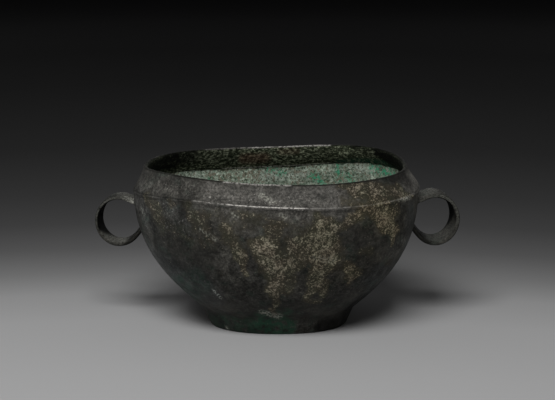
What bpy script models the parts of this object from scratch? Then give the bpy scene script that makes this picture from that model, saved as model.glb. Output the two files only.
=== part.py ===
"""Ancient bronze vessel: an oval dish on a low foot, with a shoulder, an inward neck and two ring handles.

It is one casting. The bowl is a stack of ovals, one at each station of the wall's section. They run from
the underside of the foot up the outside, over the lip and down to the floor inside, so the skin is closed
and the vessel is hollow, with a wall of real thickness. Each handle is a strap swept along a loop, with
both ends buried in the wall, and it is united with the bowl.

Lengths are in metres. +X runs along the oval to the right handle, +Y to its back, +Z up. The origin is
on the surface that the foot stands on, midway between the outer sides of the handles.
"""

import math
from collections import namedtuple

import bmesh
import bpy
from mathutils import Vector

# Foot
FOOT_LENGTH = 0.0700
FOOT_WIDTH = 0.0540
FOOT_HEIGHT = 0.0091
FOOT_FLARE = 0.0034
FOOT_EDGE = 0.0010
FOOT_RING = 0.0035
FOOT_RECESS = 0.0060
FOOT_FILLET = 0.0030

# Bowl, from the foot to the shoulder
SHOULDER_LENGTH = 0.1418
SHOULDER_WIDTH = 0.1128
SHOULDER_HEIGHT = 0.0695
LEDGE = 0.0004
LEDGE_HEIGHT = 0.0008
BOWL_SLOPE = math.radians(41.5)
BOWL_SLOPE_REACH = 0.0187
BELLY_REACH = 0.0297

# Neck, from the shoulder to the rim, which stands in from the shoulder at the ends and at the sides
NECK_HEIGHT = 0.0112
NECK_INSET_ENDS = 0.0056
NECK_INSET_SIDES = 0.0066
SHOULDER_REACH = 0.0008
RIM_LEAN = math.radians(12)
RIM_REACH = 0.0035

# Wall
WALL = 0.0024
LIP = 0.0021
FLOOR = 0.0024
FLOOR_CURVE = 0.0160

# Plan: 2 is an ellipse, more is squarer
SQUARENESS = 2.3

# Distortion of the old casting: a fuller right half, levels that stray sideways, and edges that wave.
# A wave is a number of crests around the oval, their height and the direction of the first one.
EGG = 0.08
BOWL_SHIFT = 0.00055
SHOULDER_SHIFT = -0.0010
RIM_SHIFT = -0.0015
SHOULDER_TILT = 0.0013
SHOULDER_SADDLE = 0.0013
SHOULDER_THREE = 0.0005
SHOULDER_FOUR = 0.0006
RIM_TILT = 0.0015
RIM_SADDLE = 0.0009
RIM_FOUR = 0.0004
SHOULDER_WAVES = (
    (1, SHOULDER_TILT, math.radians(37)),
    (2, SHOULDER_SADDLE, math.radians(38)),
    (3, SHOULDER_THREE, math.radians(23)),
    (4, SHOULDER_FOUR, math.radians(49)),
)
RIM_WAVES = (
    (1, RIM_TILT, math.radians(82)),
    (2, RIM_SADDLE, math.radians(34)),
    (4, RIM_FOUR, math.radians(45)),
)
WAVES_START = 0.020

# Handles: the loop's centre lies DROP below the shoulder. The middle of the strap goes REACH beyond the
# shoulder's end, and is RUN along X and RISE along Z from that centre. The strap thickens over its lower
# half, from THICKENS_FROM of its length. Its front edge is swung outwards by TWIST. The strap also leans:
# its front edge lies further in at the top, by TOP_LEAN, and further out from LEANS_FROM on, by LOW_LEAN.
LEFT_DROP = 0.01745
LEFT_REACH = 0.0189
LEFT_RUN = 0.0107
LEFT_RISE = 0.0118
LEFT_WIDTH = 0.0105
LEFT_THICKNESS = 0.0016
LEFT_LOW_THICKNESS = 0.0020
LEFT_TWIST = math.radians(5)
RIGHT_DROP = 0.0161
RIGHT_REACH = 0.0175
RIGHT_RUN = 0.0107
RIGHT_RISE = 0.0120
RIGHT_WIDTH = 0.0152
RIGHT_THICKNESS = 0.0020
RIGHT_LOW_THICKNESS = 0.0022
RIGHT_TWIST = math.radians(3.3)
Handle = namedtuple("Handle", "side drop reach run rise width thickness low_thickness twist")
HANDLES = (
    Handle(
        -1,
        LEFT_DROP,
        LEFT_REACH,
        LEFT_RUN,
        LEFT_RISE,
        LEFT_WIDTH,
        LEFT_THICKNESS,
        LEFT_LOW_THICKNESS,
        LEFT_TWIST,
    ),
    Handle(
        1,
        RIGHT_DROP,
        RIGHT_REACH,
        RIGHT_RUN,
        RIGHT_RISE,
        RIGHT_WIDTH,
        RIGHT_THICKNESS,
        RIGHT_LOW_THICKNESS,
        RIGHT_TWIST,
    ),
)
STRAP_CROWN = 0.0003
STRAP_TOP_LEAN = math.radians(2)
STRAP_LOW_LEAN = math.radians(3)
STRAP_FLARE = 0.0032
STRAP_FLARE_LENGTH = 0.0060
TWIST_LENGTH = 0.0060
THICKENS_FROM = 0.375
LEANS_FROM = 0.20
LOOP_TOP = math.radians(108)
LOOP_LOW = math.radians(-138)

# Fineness of the mesh
COLUMNS = 80
FILLET_STEPS = 3
BOWL_STEPS = 9
NECK_STEPS = 4
LIP_STEPS = 3
FLOOR_STEPS = 3
LOOP_STEPS = 26
STRAIGHT_STEPS = 3

BRONZE_COLOUR = (0.060, 0.056, 0.048, 1.0)
BRONZE_ROUGHNESS = 0.55
BRONZE_METALLIC = 0.35

# A station of the section: half the oval's length, half its width, and its height
Station = namedtuple("Station", "half_length half_width height")


def smooth(value):
    """0 below 0, 1 above 1, and an even S between."""
    value = min(1.0, max(0.0, value))
    return value * value * (3 - 2 * value)


def mix(first, second, share):
    return first + (second - first) * share


def bezier(ends, handles, share):
    """Point of a cubic curve from ends[0] to ends[1], pulled by handles[0] and handles[1]."""
    rest = 1 - share
    weights = (rest**3, 3 * rest**2 * share, 3 * rest * share**2, share**3)
    points = (ends[0], handles[0], handles[1], ends[1])
    return tuple(sum(w * p[axis] for w, p in zip(weights, points)) for axis in (0, 1))


def curve(ends, handles, steps):
    """The curve's points after its first one."""
    return [bezier(ends, handles, (step + 1) / steps) for step in range(steps)]


def outer_section(foot_half, shoulder_half, neck_inset):
    """Outside of the wall as (distance from the middle, height), from the foot's edge to the rim.

    It is made once along the oval and once across it, so both have the same heights.
    """
    foot_top = foot_half + FOOT_FLARE
    bowl_top = shoulder_half - LEDGE
    rim_half = shoulder_half - neck_inset
    rim_height = SHOULDER_HEIGHT + NECK_HEIGHT
    lean = math.hypot(FOOT_FLARE, FOOT_HEIGHT)
    foot_turn = (
        foot_top - FOOT_FILLET * FOOT_FLARE / lean,
        FOOT_HEIGHT - FOOT_FILLET * FOOT_HEIGHT / lean,
    )
    bowl_start = (
        foot_top + FOOT_FILLET * math.cos(BOWL_SLOPE),
        FOOT_HEIGHT + FOOT_FILLET * math.sin(BOWL_SLOPE),
    )
    points = [(foot_half, FOOT_EDGE), foot_turn]
    corner = (foot_top, FOOT_HEIGHT)
    points += curve((foot_turn, bowl_start), (corner, corner), FILLET_STEPS)
    bowl_handles = (
        (
            bowl_start[0] + BOWL_SLOPE_REACH * math.cos(BOWL_SLOPE),
            bowl_start[1] + BOWL_SLOPE_REACH * math.sin(BOWL_SLOPE),
        ),
        (bowl_top, SHOULDER_HEIGHT - BELLY_REACH),
    )
    points += curve((bowl_start, (bowl_top, SHOULDER_HEIGHT - LEDGE_HEIGHT)), bowl_handles, BOWL_STEPS)
    points.append((shoulder_half, SHOULDER_HEIGHT))
    lip_start = (rim_half, rim_height - LIP / 2)
    neck_handles = (
        (shoulder_half, SHOULDER_HEIGHT + SHOULDER_REACH),
        (
            lip_start[0] + RIM_REACH * math.sin(RIM_LEAN),
            lip_start[1] - RIM_REACH * math.cos(RIM_LEAN),
        ),
    )
    points += curve((points[-1], lip_start), neck_handles, NECK_STEPS)
    return points


def outer_stations():
    along = outer_section(FOOT_LENGTH / 2, SHOULDER_LENGTH / 2, NECK_INSET_ENDS)
    across = outer_section(FOOT_WIDTH / 2, SHOULDER_WIDTH / 2, NECK_INSET_SIDES)
    return [Station(a, b, height) for (a, height), (b, _) in zip(along, across)]


def step_in(station, distance):
    """The same oval at the same height, smaller by a distance all round."""
    return Station(station.half_length - distance, station.half_width - distance, station.height)


def inset(stations, index, depth):
    """The station as far inside the wall as depth, square to the section there."""
    before = stations[max(index - 1, 0)]
    after = stations[min(index + 1, len(stations) - 1)]
    run = after.half_length - before.half_length
    rise = after.height - before.height
    length = math.hypot(run, rise)
    here = stations[index]
    return step_in(here, depth * rise / length)._replace(height=here.height + depth * run / length)


def inner_stations(outer):
    """Inside of the wall, from just under the lip down to the edge of the flat floor."""
    shoulder = len(outer) - 1 - NECK_STEPS
    bowl_start = shoulder - 1 - BOWL_STEPS
    stations = [step_in(outer[-1], LIP)]
    for index in range(len(outer) - 2, shoulder, -1):
        stations.append(inset(outer, index, WALL))
    stations.append(step_in(outer[shoulder], WALL + LEDGE))
    for index in range(shoulder - 2, bowl_start - 1, -1):
        stations.append(inset(outer, index, WALL))
    edge = stations[-1]
    floor_height = FOOT_RECESS + FLOOR
    slope_meets_floor = (edge.height - floor_height) / math.tan(BOWL_SLOPE)
    ends = ((0.0, edge.height), (FLOOR_CURVE, floor_height))
    handles = ((slope_meets_floor, floor_height), (FLOOR_CURVE / 2, floor_height))
    for inward, height in curve(ends, handles, FLOOR_STEPS):
        stations.append(step_in(edge, inward)._replace(height=height))
    return stations


def lip_stations(outer_edge):
    """The rounded lip, as a half circle over the wall, without its two ends."""
    stations = []
    for step in range(1, LIP_STEPS + 1):
        turn = math.pi * step / (LIP_STEPS + 1)
        height = outer_edge.height + LIP / 2 * math.sin(turn)
        stations.append(step_in(outer_edge, LIP / 2 * (1 - math.cos(turn)))._replace(height=height))
    return stations


def foot_stations():
    """The underside, from the edge of the recess's ceiling down and out to the foot's edge."""
    outline = Station(FOOT_LENGTH / 2, FOOT_WIDTH / 2, 0.0)
    ring_inside = step_in(outline, FOOT_RING)
    return [ring_inside._replace(height=FOOT_RECESS), ring_inside, step_in(outline, FOOT_EDGE)]


def wave(waves, angle):
    return sum(height * math.cos(crests * (angle - first)) for crests, height, first in waves)


def signed_power(value, power):
    return math.copysign(abs(value) ** power, value)


def place(station, angle):
    """A point of the distorted oval, at an angle from +X."""
    height = station.height
    rise = smooth(height / SHOULDER_HEIGHT)
    neck = smooth((height - SHOULDER_HEIGHT) / NECK_HEIGHT)
    x = station.half_length * signed_power(math.cos(angle), 2 / SQUARENESS)
    y = station.half_width * signed_power(math.sin(angle), 2 / SQUARENESS)
    y *= 1 + EGG * rise * x / (SHOULDER_LENGTH / 2)
    x += BOWL_SHIFT + mix(SHOULDER_SHIFT * rise, RIM_SHIFT, neck)
    share = smooth((height - WAVES_START) / (SHOULDER_HEIGHT - WAVES_START))
    neck_share = min(1.0, max(0.0, (height - SHOULDER_HEIGHT) / NECK_HEIGHT))
    lift = mix(wave(SHOULDER_WAVES, angle), wave(RIM_WAVES, angle), neck_share)
    return Vector((x, y, height + share * lift))


def build_bowl(material):
    outer = outer_stations()
    stations = foot_stations() + outer + lip_stations(outer[-1]) + inner_stations(outer)
    mesh = bmesh.new()
    rings = []
    for station in stations:
        ring = [mesh.verts.new(place(station, math.tau * column / COLUMNS)) for column in range(COLUMNS)]
        rings.append(ring)
    for lower, upper in zip(rings, rings[1:]):
        for column in range(COLUMNS):
            following = (column + 1) % COLUMNS
            mesh.faces.new((lower[column], lower[following], upper[following], upper[column]))
    ceiling = mesh.verts.new((0.0, 0.0, FOOT_RECESS))
    floor = mesh.verts.new((0.0, 0.0, stations[-1].height))
    for column in range(COLUMNS):
        following = (column + 1) % COLUMNS
        mesh.faces.new((ceiling, rings[0][following], rings[0][column]))
        mesh.faces.new((floor, rings[-1][column], rings[-1][following]))
    return finish_object("bronze_dish", mesh, material)


def wall_reach(side, height):
    """X of the outside of the wall at one end of the oval, at a height."""
    angle = 0.0 if side > 0 else math.pi
    points = [place(station, angle) for station in outer_stations()]
    for lower, upper in zip(points, points[1:]):
        if lower.z <= height <= upper.z:
            return mix(lower.x, upper.x, (height - lower.z) / (upper.z - lower.z))
    return points[-1].x


def loop_point(handle, centre, angle):
    return Vector(
        (
            centre.x + handle.side * handle.run * math.cos(angle),
            0.0,
            centre.z + handle.rise * math.sin(angle),
        )
    )


def loop_tangent(handle, angle):
    tangent = Vector((-handle.side * handle.run * math.sin(angle), 0.0, handle.rise * math.cos(angle)))
    return tangent.normalized()


def into_wall(handle, start, direction):
    """Where a straight run from start reaches the middle of the wall."""
    end = start.copy()
    for _ in range(8):
        target = wall_reach(handle.side, end.z) - handle.side * WALL / 2
        end = start + direction * ((target - start.x) / direction.x)
    return end


def handle_path(handle):
    """Middle line of the strap, from its upper end in the wall round to its lower one."""
    away = handle.side * (SHOULDER_LENGTH / 2 + handle.reach - handle.run)
    centre = Vector((BOWL_SHIFT + away, 0.0, SHOULDER_HEIGHT - handle.drop))
    angles = [mix(LOOP_TOP, LOOP_LOW, step / LOOP_STEPS) for step in range(LOOP_STEPS + 1)]
    loop = [loop_point(handle, centre, angle) for angle in angles]
    top = into_wall(handle, loop[0], loop_tangent(handle, LOOP_TOP))
    low = into_wall(handle, loop[-1], -loop_tangent(handle, LOOP_LOW))
    upper = [top.lerp(loop[0], step / STRAIGHT_STEPS) for step in range(STRAIGHT_STEPS)]
    lower = [loop[-1].lerp(low, (step + 1) / STRAIGHT_STEPS) for step in range(STRAIGHT_STEPS)]
    return upper + loop + lower


def strap_section(width, thickness):
    """Corners of the strap across its path: crowned outside, with bevelled edges."""
    half = width / 2
    bevel = thickness / 3
    crown = thickness / 2 + STRAP_CROWN
    return (
        (-half, 0.0),
        (bevel - half, thickness / 2),
        (0.0, crown),
        (half - bevel, thickness / 2),
        (half, 0.0),
        (half - bevel, -thickness / 2),
        (0.0, -thickness / 2),
        (bevel - half, -thickness / 2),
    )


def distances(path):
    """How far each point lies along the path."""
    travelled = [0.0]
    for before, after in zip(path, path[1:]):
        travelled.append(travelled[-1] + (after - before).length)
    return travelled


def build_handle(name, handle, material):
    path = handle_path(handle)
    travelled = distances(path)
    length = travelled[-1]
    mesh = bmesh.new()
    rings = []
    for index, (point, gone) in enumerate(zip(path, travelled)):
        before = path[max(index - 1, 0)]
        after = path[min(index + 1, len(path) - 1)]
        along = (after - before).normalized()
        outward = Vector((-along.z, 0.0, along.x)) * handle.side
        free = smooth(min(gone, length - gone) / TWIST_LENGTH)
        twist = -handle.side * handle.twist * free
        sideways = Vector((math.sin(twist), math.cos(twist), 0.0))
        lean = mix(-STRAP_TOP_LEAN, STRAP_LOW_LEAN, smooth(4 * (gone / length - LEANS_FROM)))
        lean = math.tan(lean) * free
        width = handle.width + 2 * STRAP_FLARE * (1 - smooth(gone / STRAP_FLARE_LENGTH))
        lower = smooth(2 * (gone / length - THICKENS_FROM))
        thickness = mix(handle.thickness, handle.low_thickness, lower)
        ring = []
        for across, away in strap_section(width, thickness):
            ring.append(mesh.verts.new(point + sideways * across + outward * (away - across * lean)))
        rings.append(ring)
    corners = len(rings[0])
    for first, second in zip(rings, rings[1:]):
        for corner in range(corners):
            following = (corner + 1) % corners
            mesh.faces.new((first[corner], first[following], second[following], second[corner]))
    mesh.faces.new(reversed(rings[0]))
    mesh.faces.new(rings[-1])
    bmesh.ops.recalc_face_normals(mesh, faces=mesh.faces)
    strap = finish_object(name, mesh, material)
    strap.hide_render = True
    strap.display_type = "WIRE"
    return strap


def finish_object(name, mesh, material):
    data = bpy.data.meshes.new(name)
    mesh.to_mesh(data)
    mesh.free()
    data.materials.append(material)
    data.shade_smooth()
    data.set_sharp_from_angle(angle=math.radians(40))
    item = bpy.data.objects.new(name, data)
    bpy.context.scene.collection.objects.link(item)
    return item


def bronze_material():
    material = bpy.data.materials.new("aged_bronze")
    material.use_nodes = True
    shader = material.node_tree.nodes["Principled BSDF"]
    shader.inputs["Base Color"].default_value = BRONZE_COLOUR
    shader.inputs["Roughness"].default_value = BRONZE_ROUGHNESS
    shader.inputs["Metallic"].default_value = BRONZE_METALLIC
    return material


def unite(bowl, strap):
    union = bowl.modifiers.new(strap.name, "BOOLEAN")
    union.operation = "UNION"
    union.solver = "EXACT"
    union.object = strap


def main():
    for item in list(bpy.data.objects):
        bpy.data.objects.remove(item)
    material = bronze_material()
    bowl = build_bowl(material)
    for name, handle in zip(("left_strap", "right_strap"), HANDLES):
        unite(bowl, build_handle(name, handle, material))


main()
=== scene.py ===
"""Looks of the ancient bronze dish: its worn and crusted skin, a plain floor, soft light and the camera.

The dish is rebuilt here as one closed mesh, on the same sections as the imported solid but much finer, so
that corrosion, pits, dents and the worn ridge are real relief. Places on it are given as a direction in
degrees from +X round the oval, and a height in millimetres before the casting was distorted.
"""

import math
from collections import namedtuple

import bpy
import numpy as np
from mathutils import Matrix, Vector, noise
from mathutils.kdtree import KDTree


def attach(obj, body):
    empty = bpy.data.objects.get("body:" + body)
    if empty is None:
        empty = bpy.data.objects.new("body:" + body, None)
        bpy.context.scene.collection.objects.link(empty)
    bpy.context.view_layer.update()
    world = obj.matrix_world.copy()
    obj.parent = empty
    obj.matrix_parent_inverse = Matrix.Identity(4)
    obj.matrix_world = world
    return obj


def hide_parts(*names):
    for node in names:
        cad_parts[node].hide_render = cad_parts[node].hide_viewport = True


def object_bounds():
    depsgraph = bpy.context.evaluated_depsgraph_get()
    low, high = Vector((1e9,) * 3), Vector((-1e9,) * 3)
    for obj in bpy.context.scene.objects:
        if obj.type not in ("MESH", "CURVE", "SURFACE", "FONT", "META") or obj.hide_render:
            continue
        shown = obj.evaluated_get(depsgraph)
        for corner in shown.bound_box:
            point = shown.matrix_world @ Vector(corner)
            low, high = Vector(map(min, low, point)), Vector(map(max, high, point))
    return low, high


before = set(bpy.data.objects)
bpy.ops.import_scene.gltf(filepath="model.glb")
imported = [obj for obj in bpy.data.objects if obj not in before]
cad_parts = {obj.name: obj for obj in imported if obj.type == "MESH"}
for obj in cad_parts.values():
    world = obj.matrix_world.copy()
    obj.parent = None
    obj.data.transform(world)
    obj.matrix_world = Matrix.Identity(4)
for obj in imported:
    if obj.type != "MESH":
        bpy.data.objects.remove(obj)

CAD_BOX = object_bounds()

# Sizes of the solid
FOOT_LENGTH = 0.0700
FOOT_WIDTH = 0.0540
FOOT_HEIGHT = 0.0091
FOOT_FLARE = 0.0034
FOOT_EDGE = 0.0010
FOOT_RING = 0.0035
FOOT_RECESS = 0.0060
FOOT_FILLET = 0.0030
SHOULDER_LENGTH = 0.1418
SHOULDER_WIDTH = 0.1128
SHOULDER_HEIGHT = 0.0695
LEDGE = 0.0004
LEDGE_HEIGHT = 0.0008
BOWL_SLOPE = math.radians(41.5)
BOWL_SLOPE_REACH = 0.0187
BELLY_REACH = 0.0297
NECK_HEIGHT = 0.0112
NECK_INSET_ENDS = 0.0056
NECK_INSET_SIDES = 0.0066
SHOULDER_REACH = 0.0008
RIM_LEAN = math.radians(12)
RIM_REACH = 0.0035
WALL = 0.0024
LIP = 0.0021
FLOOR = 0.0024
FLOOR_CURVE = 0.0160
SQUARENESS = 2.3
EGG = 0.08
BOWL_SHIFT = 0.00055
SHOULDER_SHIFT = -0.0010
RIM_SHIFT = -0.0015
SHOULDER_WAVES = (
    (1, 0.0013, math.radians(37)),
    (2, 0.0013, math.radians(38)),
    (3, 0.0005, math.radians(23)),
    (4, 0.0006, math.radians(49)),
)
RIM_WAVES = (
    (1, 0.0015, math.radians(82)),
    (2, 0.0009, math.radians(34)),
    (4, 0.0004, math.radians(45)),
)
WAVES_START = 0.020
Handle = namedtuple("Handle", "side drop reach run rise width thickness low_thickness twist")
HANDLES = (
    Handle(-1, 0.01745, 0.0189, 0.0107, 0.0118, 0.0105, 0.0016, 0.0020, math.radians(5)),
    Handle(1, 0.0161, 0.0175, 0.0107, 0.0120, 0.0152, 0.0020, 0.0022, math.radians(3.3)),
)
STRAP_CROWN = 0.0003
STRAP_INSIDE_CROWN = STRAP_CROWN * 0.3
STRAP_BEVEL = 0.45
STRAP_TOP_LEAN = math.radians(2)
STRAP_LOW_LEAN = math.radians(3)
STRAP_FLARE = 0.0032
STRAP_FLARE_LENGTH = 0.0060
TWIST_LENGTH = 0.0060
THICKENS_FROM = 0.375
LEANS_FROM = 0.20
LOOP_TOP = math.radians(108)
LOOP_LOW = math.radians(-138)

# Steps of the solid's inner wall, and the finer steps of the mesh here
Steps = namedtuple("Steps", "foot fillet bowl ledge neck")
SOLID_STEPS = Steps(1, 3, 9, 1, 4)
FINE_STEPS = Steps(9, 6, 92, 2, 17)
COLUMNS = 560
HALF_COLUMNS_BELOW = 0.0230
EDGE_STEPS = 4
LIP_STEPS = 7
INNER_NECK_STEPS = 15
INNER_BOWL_STEPS = 50
RECESS_STEPS = 5
CENTRE_STEPS = 9
CENTRE_SPREAD = 0.8
LOOP_STEPS = 110
STRAIGHT_STEPS = 8
POINTS_PER_PIECE = 33
EDGE_POINTS = 8001

# The fillet where a strap meets the wall
FILLET_REACH = 0.0022
FILLET_ROUNDS = 8
FILLET_SHARE = 0.6


def smooth(value):
    """0 below 0, 1 above 1, and an even S between."""
    value = np.clip(value, 0.0, 1.0)
    return value * value * (3 - 2 * value)


def rising(value, start, width):
    """0 up to start, 1 from a width above it, and an even S between."""
    return smooth((value - start) / width)


def mix(first, second, share):
    return first + (second - first) * share


# The form


def curve(ends, handles, steps):
    """Points of a cubic curve after its first one."""
    share = np.linspace(0, 1, steps + 1)[1:, None]
    rest = 1 - share
    first, last = (np.array(end) for end in ends)
    pull, push = (np.array(handle) for handle in handles)
    return rest**3 * first + 3 * rest**2 * share * pull + 3 * rest * share**2 * push + share**3 * last


def line(first, last, steps):
    share = np.linspace(0, 1, steps + 1)[1:, None]
    return mix(np.array(first), np.array(last), share)


def way_along(points):
    """How far each point lies along the line through all of them."""
    return np.concatenate(([0], np.cumsum(np.linalg.norm(np.diff(points, axis=0), axis=1))))


def up_bowl(start, distance):
    """The point at a distance from start, up the slope on which the bowl begins."""
    return start[0] + distance * math.cos(BOWL_SLOPE), start[1] + distance * math.sin(BOWL_SLOPE)


def outer_section(foot_half, shoulder_half, neck_inset, steps):
    """Outside of the wall as (distance from the middle, height), from the foot's edge to the rim."""
    foot_top = foot_half + FOOT_FLARE
    bowl_top = shoulder_half - LEDGE
    lean = math.hypot(FOOT_FLARE, FOOT_HEIGHT)
    foot_turn = (
        foot_top - FOOT_FILLET * FOOT_FLARE / lean,
        FOOT_HEIGHT - FOOT_FILLET * FOOT_HEIGHT / lean,
    )
    corner = (foot_top, FOOT_HEIGHT)
    bowl_start = up_bowl(corner, FOOT_FILLET)
    bowl_handles = (up_bowl(bowl_start, BOWL_SLOPE_REACH), (bowl_top, SHOULDER_HEIGHT - BELLY_REACH))
    bowl_end = (bowl_top, SHOULDER_HEIGHT - LEDGE_HEIGHT)
    shoulder = (shoulder_half, SHOULDER_HEIGHT)
    lip_start = (shoulder_half - neck_inset, SHOULDER_HEIGHT + NECK_HEIGHT - LIP / 2)
    neck_handles = (
        (shoulder_half, SHOULDER_HEIGHT + SHOULDER_REACH),
        (
            lip_start[0] + RIM_REACH * math.sin(RIM_LEAN),
            lip_start[1] - RIM_REACH * math.cos(RIM_LEAN),
        ),
    )
    parts = [
        np.array([(foot_half, FOOT_EDGE)]),
        line((foot_half, FOOT_EDGE), foot_turn, steps.foot),
        curve((foot_turn, bowl_start), (corner, corner), steps.fillet),
        curve((bowl_start, bowl_end), bowl_handles, steps.bowl),
        line(bowl_end, shoulder, steps.ledge),
        curve((shoulder, lip_start), neck_handles, steps.neck),
    ]
    return np.vstack(parts)


def outer_stations(steps):
    """Half length, half width and height of each oval of the outside."""
    along = outer_section(FOOT_LENGTH / 2, SHOULDER_LENGTH / 2, NECK_INSET_ENDS, steps)
    across = outer_section(FOOT_WIDTH / 2, SHOULDER_WIDTH / 2, NECK_INSET_SIDES, steps)
    return np.column_stack((along[:, 0], across[:, 0], along[:, 1]))


def step_in(station, distance, height=None):
    level = station[2] if height is None else height
    return np.array((station[0] - distance, station[1] - distance, level))


def inset(stations, index, depth):
    """The station as far inside the wall as depth, square to the section there."""
    before = stations[max(index - 1, 0)]
    after = stations[min(index + 1, len(stations) - 1)]
    run, rise = after[0] - before[0], after[2] - before[2]
    length = math.hypot(run, rise)
    here = stations[index]
    return step_in(here, depth * rise / length, here[2] + depth * run / length)


def rounded(stations, steps):
    """A smooth curve through stations, as that many steps of even length."""
    stations = np.array(stations)
    ends = np.vstack((2 * stations[0] - stations[1], stations, 2 * stations[-1] - stations[-2]))
    pieces = []
    share = np.linspace(0, 1, POINTS_PER_PIECE)[:-1, None]
    for first, second, third, fourth in zip(ends, ends[1:], ends[2:], ends[3:]):
        leave, arrive = (third - first) / 2, (fourth - second) / 2
        rise = share**2 * (3 - 2 * share)
        piece = mix(second, third, rise)
        piece = piece + (share**3 - 2 * share**2 + share) * leave + (share**3 - share**2) * arrive
        pieces.append(piece)
    dense = np.vstack(pieces + [stations[-1:]])
    travelled = way_along(dense)
    wanted = np.linspace(0, travelled[-1], steps + 1)
    return np.column_stack([np.interp(wanted, travelled, dense[:, axis]) for axis in range(3)])


def inner_walls():
    """Inside of the neck and of the bowl, each from its top down, to the edge of the flat floor."""
    outer = outer_stations(SOLID_STEPS)
    shoulder = len(outer) - 1 - SOLID_STEPS.neck
    bowl_start = shoulder - 1 - SOLID_STEPS.bowl
    corner = step_in(outer[shoulder], WALL + LEDGE)
    neck = [step_in(outer[-1], LIP)]
    neck += [inset(outer, index, WALL) for index in range(len(outer) - 2, shoulder, -1)]
    neck.append(corner)
    bowl = [corner] + [inset(outer, index, WALL) for index in range(shoulder - 2, bowl_start - 1, -1)]
    edge = bowl[-1]
    floor_height = FOOT_RECESS + FLOOR
    slope_meets_floor = (edge[2] - floor_height) / math.tan(BOWL_SLOPE)
    ends = ((0.0, edge[2]), (FLOOR_CURVE, floor_height))
    handles = ((slope_meets_floor, floor_height), (FLOOR_CURVE / 2, floor_height))
    bowl += [step_in(edge, inward, height) for inward, height in curve(ends, handles, 3)]
    return rounded(neck, INNER_NECK_STEPS), rounded(bowl, INNER_BOWL_STEPS)


def wave(waves, angle):
    return sum(height * np.cos(crests * (angle - first)) for crests, height, first in waves)


def signed_power(value, power):
    return np.sign(value) * np.abs(value) ** power


def lift(angle, height):
    """How far the distortion raises a point of an oval."""
    share = rising(height, WAVES_START, SHOULDER_HEIGHT - WAVES_START)
    neck = np.clip((height - SHOULDER_HEIGHT) / NECK_HEIGHT, 0, 1)
    return share * mix(wave(SHOULDER_WAVES, angle), wave(RIM_WAVES, angle), neck)


def sideways(height):
    """Share of the distortion at a height, and the shift along X there."""
    rise = smooth(height / SHOULDER_HEIGHT)
    neck = rising(height, SHOULDER_HEIGHT, NECK_HEIGHT)
    return rise, BOWL_SHIFT + mix(SHOULDER_SHIFT * rise, RIM_SHIFT, neck)


def place(station, angle):
    """Points of one distorted oval, at angles from +X."""
    half_length, half_width, height = station
    rise, shift = sideways(height)
    x = half_length * signed_power(np.cos(angle), 2 / SQUARENESS)
    y = half_width * signed_power(np.sin(angle), 2 / SQUARENESS)
    y = y * (1 + EGG * rise * x / (SHOULDER_LENGTH / 2))
    return np.column_stack((x + shift, y, height + lift(angle, height)))


def unroll(points):
    """Direction in radians, height before distortion, and share of the oval's reach, of each point."""
    outer = outer_stations(FINE_STEPS)
    height = points[:, 2].copy()
    for _ in range(4):
        rise, shift = sideways(height)
        half_length = np.interp(height, outer[:, 2], outer[:, 0])
        half_width = np.interp(height, outer[:, 2], outer[:, 1])
        x = points[:, 0] - shift
        y = points[:, 1] / (1 + EGG * rise * x / (SHOULDER_LENGTH / 2))
        across = signed_power(x / half_length, SQUARENESS / 2)
        along = signed_power(y / half_width, SQUARENESS / 2)
        angle = np.arctan2(along, across)
        height = points[:, 2] - lift(angle, height)
    reach = np.hypot(across, along) ** (2 / SQUARENESS)
    return angle % math.tau, height, reach


def even_angles(count):
    """Angles that share the shoulder's edge out evenly."""
    dense = np.linspace(0, math.tau, EDGE_POINTS)
    shoulder = (SHOULDER_LENGTH / 2, SHOULDER_WIDTH / 2, SHOULDER_HEIGHT)
    travelled = way_along(place(shoulder, dense))
    return np.interp(np.arange(count) / count * travelled[-1], travelled, dense)


def lip_stations(edge):
    turn = math.pi * np.arange(1, LIP_STEPS + 1) / (LIP_STEPS + 1)
    inward = LIP / 2 * (1 - np.cos(turn))
    return [step_in(edge, i, edge[2] + LIP / 2 * math.sin(t)) for i, t in zip(inward, turn)]


def centre_stations(edge):
    """Ovals of a flat face, from near its middle out, short of its edge."""
    shares = (np.arange(1, CENTRE_STEPS) / CENTRE_STEPS) ** CENTRE_SPREAD
    return [edge * (share, share, 1) for share in shares]


def foot_stations():
    """The underside, from the middle of the recess out and down to the foot's rounded edge."""
    outline = np.array((FOOT_LENGTH / 2, FOOT_WIDTH / 2, 0.0))
    ceiling = step_in(outline, FOOT_RING, FOOT_RECESS)
    stations = centre_stations(ceiling)
    for step in range(RECESS_STEPS + 1):
        stations.append(step_in(ceiling, 0, FOOT_RECESS * (1 - step / RECESS_STEPS)))
    stations += [step_in(outline, mix(FOOT_RING, FOOT_EDGE, share)) for share in (0.33, 0.67)]
    for turn in np.linspace(0, math.pi / 2, EDGE_STEPS + 1)[:-1]:
        stations.append(step_in(outline, FOOT_EDGE * (1 - math.sin(turn)), FOOT_EDGE * (1 - math.cos(turn))))
    return stations


def bowl_rings():
    """Every oval of the skin in order, as (station, number of columns)."""
    half = COLUMNS // 2
    outer = outer_stations(FINE_STEPS)
    neck, bowl = inner_walls()
    rings = [(station, half) for station in foot_stations()]
    rings += [(station, half if station[2] < HALF_COLUMNS_BELOW else COLUMNS) for station in outer]
    rings += [(station, COLUMNS) for station in lip_stations(outer[-1])]
    rings += [(station, COLUMNS) for station in neck]
    rings += [(station, half) for station in bowl[1:]]
    rings += [(station, half) for station in centre_stations(bowl[-1])[::-1]]
    return rings


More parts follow.
